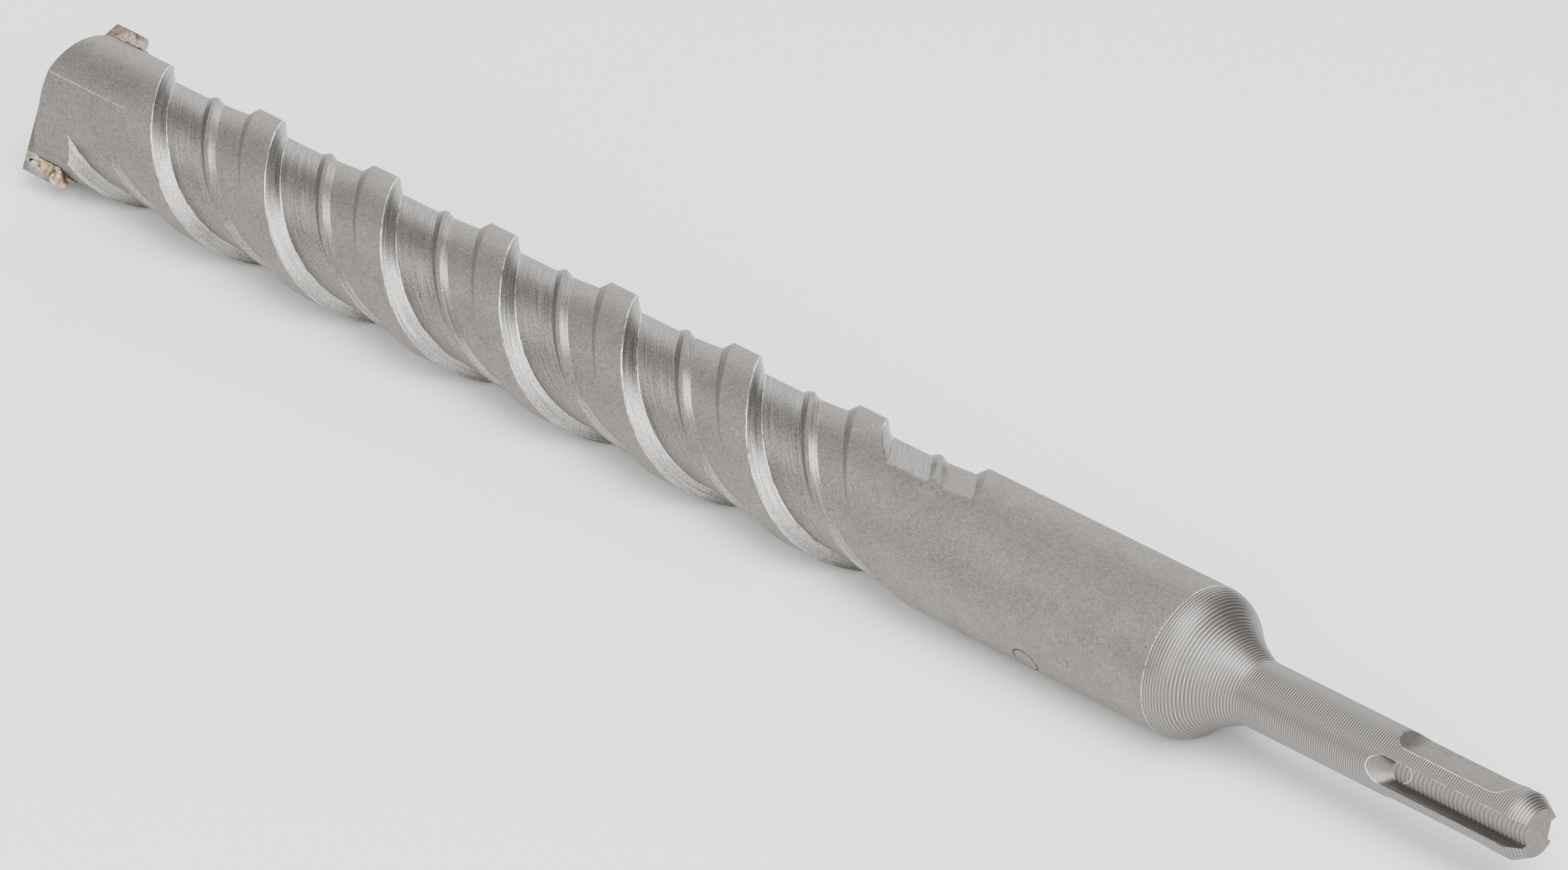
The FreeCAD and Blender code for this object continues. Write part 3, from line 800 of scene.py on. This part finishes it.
def tungsten_carbide(name, with_film):
    """Make tungsten carbide, bare or with the tan film of braze that wets it by the steel."""
    metal, tree, shader, place = new_metal(name, roughness=0.38)
    scratches = add_node(tree, "ShaderNodeTexNoise",
                         {"Vector": place, "Scale": 1 / (0.4 * MM), "Detail": 3.0})
    bare = add_node(tree, "ShaderNodeValToRGB", {"Fac": scratches.outputs["Fac"]},
                    [(0.3, "#6b6764"), (0.7, "#8a8683")]).outputs["Color"]
    if with_film:
        level = add_node(tree, "ShaderNodeMapping",
                         {"Vector": place, "Rotation": (math.radians(REST_ROLL), 0, 0)})
        parts = add_node(tree, "ShaderNodeSeparateXYZ", {0: level.outputs[0]})
        across = add_node(tree, "ShaderNodeMath", {0: parts.outputs["Z"]}, operation="ABSOLUTE")
        wander = add_node(tree, "ShaderNodeTexNoise",
                          {"Vector": place, "Scale": 1 / (1.6 * MM), "Detail": 5.0})
        leaned = add_node(tree, "ShaderNodeMath",
                          {0: parts.outputs["Z"], 1: FILM_LEAN, 2: across.outputs[0]},
                          operation="MULTIPLY_ADD")
        reach = add_node(tree, "ShaderNodeMath",
                         {0: wander.outputs["Fac"], 1: FILM_WANDER * MM, 2: leaned.outputs[0]},
                         operation="MULTIPLY_ADD")
        film = add_node(tree, "ShaderNodeMapRange",
                        {"Value": reach.outputs[0],
                         "From Min": (FILM_REACH + FILM_FADE[0]) * MM,
                         "From Max": (FILM_REACH + FILM_FADE[1]) * MM,
                         "To Min": 1.0, "To Max": 0.0})
        beyond = add_node(tree, "ShaderNodeMapRange",
                          {"Value": across.outputs[0],
                           "From Min": (BODY_RADIUS - FILM_START[0]) * MM,
                           "From Max": (BODY_RADIUS - FILM_START[1]) * MM})
        wetted = add_node(tree, "ShaderNodeMath", {0: film.outputs[0], 1: beyond.outputs[0]},
                          operation="MULTIPLY")
        stain = add_node(tree, "ShaderNodeTexNoise",
                         {"Vector": place, "Scale": 1 / (0.9 * MM), "Detail": 4.0})
        tan = add_node(tree, "ShaderNodeValToRGB", {"Fac": stain.outputs["Fac"]},
                       [(0.33, "#8f8071"), (0.5, "#b0a08e"), (0.66, "#c6b9a8")])
        bare = add_node(tree, "ShaderNodeMix",
                        {0: wetted.outputs[0], 6: bare, 7: tan.outputs["Color"]},
                        data_type="RGBA").outputs[2]
    tree.links.new(bare, shader.inputs["Base Color"])
    return metal


bpy.ops.mesh.primitive_circle_add(vertices=PLATE_CORNERS, radius=1, fill_type="NGON")
plate = bpy.context.object
plate.name = "cutting_plate"
bpy.ops.object.mode_set(mode="EDIT")
bpy.ops.mesh.extrude_region_move(TRANSFORM_OT_translate={"value": (0, 0, 1)})
bpy.ops.object.mode_set(mode="OBJECT")
sides = {0: (-PLATE_HALF_THICKNESS, plate_outline(-1)),
         1: (PLATE_HALF_THICKNESS, plate_outline(1))}
for point in plate.data.vertices:
    share = math.atan2(point.co.y, point.co.x) / (2 * math.pi)
    corner = round(share * PLATE_CORNERS) % PLATE_CORNERS
    thickness, outline = sides[round(point.co.z)]
    across, along = outline[corner]
    point.co = Vector((-along, thickness, across)) * MM
close_seams(plate)
turned_to(plate, 0)
bpy.ops.object.modifier_add(type="BEVEL")
plate.modifiers[-1].width = EDGE_HAIR * MM
plate.modifiers[-1].segments = 2
plate.modifiers[-1].limit_method = "ANGLE"
bpy.ops.object.modifier_apply(modifier=plate.modifiers[-1].name)
bpy.ops.object.shade_smooth_by_angle(angle=math.radians(40))
plate.data.materials.append(tungsten_carbide("brazed_tungsten_carbide", True))
plate.data.materials.append(tungsten_carbide("ground_tungsten_carbide", False))
for face in plate.data.polygons:
    face.material_index = 1 if face.normal.x < GROUND_FACING else 0
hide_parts("carbide_plate")
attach(plate, "root")


# The braze is a brass alloy that ran in the slot and set in a rough, lumpy fillet round the
# plate. By one end it dripped into a blob, and it ran along the steel's edge in low waves. Each
# lump is a place along, across and off the plate's middle, and its reach in those directions.
BRAZE_GRID = 0.13
# The braze's pore is not cut into the mesh: its darkness is a painted shadow in the braze's colour.
VOID_PLACE = (302.7, 12.0)
VOID_PROUD = 1.9
VOID_CLOCK = -171.0
VOID_WIDTH = 1.3
DRIP = [
    ((296.7, 12.6, 1.1), (1.4, 1.35, 1.3)),
    ((295.9, 13.0, 0.1), (0.9, 0.9, 0.9)),
    ((300.4, 12.0, 1.8), (2.9, 0.3, 0.35)),
    ((299.6, 12.5, 1.8), (1.9, 0.25, 0.25)),
    ((298.4, 12.9, 1.8), (1.0, 0.3, 0.25)),
    ((302.3, 12.3, 1.8), (0.9, 0.3, 0.25)),
    ((297.9, 12.0, 1.8), (1.4, 0.7, 0.5)),
]
WASH = [
    ((299.2, 13.1, 1.75), (0.25, 0.4, 0.2)),
    ((300.8, 11.7, 1.75), (2.2, 0.35, 0.12)),
]
RUNS = [(-1, -1, DRIP), (1, 1, WASH), (1, -1, WASH), (-1, 1, WASH)]


def set_braze():
    """Make the braze alloy: golden tan, stained brown by the flux, with a painted shadow where a
    pore is.
    """
    metal, tree, shader, place = new_metal("brass_braze", roughness=0.4)
    shader.inputs["Metallic"].default_value = 0.85
    stain = add_node(tree, "ShaderNodeTexNoise",
                     {"Vector": place, "Scale": 1 / (1.1 * MM), "Detail": 4.0})
    shades = add_node(tree, "ShaderNodeValToRGB", {"Fac": stain.outputs["Fac"]},
                      [(0.36, "#665946"), (0.46, "#958265"), (0.56, "#b9a887"), (0.7, "#d8cdb5")])
    # A dark disc of painted shadow stands for the pore.
    hole = on_bar(VOID_PLACE[0], math.hypot(VOID_PLACE[1], VOID_PROUD), VOID_CLOCK)
    pore_shadow = ring_line(tree, place, hole, 0.0, VOID_WIDTH)
    pore_shadowed = add_node(tree, "ShaderNodeMix",
                     {0: pore_shadow, 6: shades.outputs["Color"], 7: linear("#17201e")},
                     data_type="RGBA")
    tree.links.new(pore_shadowed.outputs[2], shader.inputs["Base Color"])
    bump = add_node(tree, "ShaderNodeBump",
                    {"Height": stain.outputs["Fac"], "Strength": 0.6, "Distance": 0.15 * MM})
    tree.links.new(bump.outputs["Normal"], shader.inputs["Normal"])
    return metal


braze = frame["nodes"]["braze_joint"].copy()
braze.data = braze.data.copy()
braze.name = "braze_fillet"
braze.parent = None
bpy.context.scene.collection.objects.link(braze)
for key in list(braze.keys()):
    del braze[key]
lumps = [braze]
for end, face, run_off in RUNS:
    for (along, across, proud), reach in run_off:
        bpy.ops.mesh.primitive_uv_sphere_add(segments=32, ring_count=16, radius=1)
        lump = bpy.context.object
        grown = Matrix.Diagonal((reach[0] * MM, reach[2] * MM, reach[1] * MM, 1))
        spot = Vector((-along, face * proud, end * across)) * MM
        lump.data.transform(Matrix.Translation(spot) @ grown)
        lumps.append(turned_to(lump, 0))
bpy.ops.object.select_all(action="DESELECT")
for lump in lumps:
    lump.select_set(True)
bpy.context.view_layer.objects.active = braze
bpy.ops.object.join()
close_seams(braze)
bpy.ops.object.modifier_add(type="REMESH")
braze.modifiers[-1].mode = "VOXEL"
braze.modifiers[-1].voxel_size = BRAZE_GRID * MM
bpy.ops.object.modifier_apply(modifier=braze.modifiers[-1].name)
bpy.ops.object.modifier_add(type="CORRECTIVE_SMOOTH")
braze.modifiers[-1].iterations = 6
braze.modifiers[-1].use_only_smooth = True
bpy.ops.object.modifier_apply(modifier=braze.modifiers[-1].name)
lumpiness = bpy.data.textures.new("lumpiness", "CLOUDS")
lumpiness.noise_scale = 1.2 * MM
bpy.ops.object.modifier_add(type="DISPLACE")
braze.modifiers[-1].texture = lumpiness
braze.modifiers[-1].strength = 0.22 * MM
braze.modifiers[-1].mid_level = 0.5
bpy.ops.object.modifier_apply(modifier=braze.modifiers[-1].name)
bpy.ops.object.shade_smooth()
braze.data.materials.clear()
braze.data.materials.append(set_braze())
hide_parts("braze_joint")
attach(braze, "root")


# The floor is a plain pale sheet under the bit. The light is five soft panels: one overhead,
# two at the right that brighten the flutes' walls, and two weaker ones at the left.
FLOOR_HALF = 4.0
bpy.ops.mesh.primitive_plane_add(size=2 * FLOOR_HALF, location=(0, 0, steel_low.z))
floor = bpy.context.object
floor.name = "floor"
paint = bpy.data.materials.new("matt_white_paint")
paint.use_nodes = True
paint.node_tree.nodes["Principled BSDF"].inputs["Base Color"].default_value = linear("#f9f9f9")
paint.node_tree.nodes["Principled BSDF"].inputs["Roughness"].default_value = 0.9
floor.data.materials.append(paint)


def add_panel(name, place, aim, width, power):
    """Hang a soft square light panel that faces a point."""
    light = bpy.data.lights.new(name, "AREA")
    light.size = width
    light.energy = power
    panel = bpy.data.objects.new(name, light)
    panel.location = place
    panel.visible_camera = False
    panel.rotation_euler = (Vector(aim) - Vector(place)).to_track_quat("-Z", "Y").to_euler()
    bpy.context.scene.collection.objects.link(panel)


MIDDLE = (-0.155, 0, 0)
add_panel("overhead_panel", (0.1, -0.1, 1.4), MIDDLE, 1.1, 27)
add_panel("right_panel", (0.77, -0.49, 0.92), MIDDLE, 0.8, 14)
add_panel("front_right_panel", (0.5, -1.07, 0.42), MIDDLE, 0.7, 9)
add_panel("front_left_panel", (-0.95, -0.78, 0.64), MIDDLE, 0.9, 8)
add_panel("back_left_panel", (-1.1, 1.08, 0.6), MIDDLE, 1.0, 11)
world = bpy.data.worlds.new("room")
world.use_nodes = True
world.node_tree.nodes["Background"].inputs["Color"].default_value = linear("#ffffff")
world.node_tree.nodes["Background"].inputs["Strength"].default_value = 0.4
bpy.context.scene.world = world


# The camera stands above the shank's side and looks along the bit with a long lens.
CAMERA_PLACE = Vector((0.6383, -0.7886, 0.6499))
CAMERA_FORWARD = Vector((-0.6095, 0.6131, -0.5027))
lens = bpy.data.cameras.new("camera")
lens.lens = 201.2
lens.sensor_width = 36.0
camera = bpy.data.objects.new("camera", lens)
camera.location = CAMERA_PLACE
camera.rotation_euler = CAMERA_FORWARD.to_track_quat("-Z", "Y").to_euler()
bpy.context.scene.collection.objects.link(camera)
bpy.context.scene.camera = camera
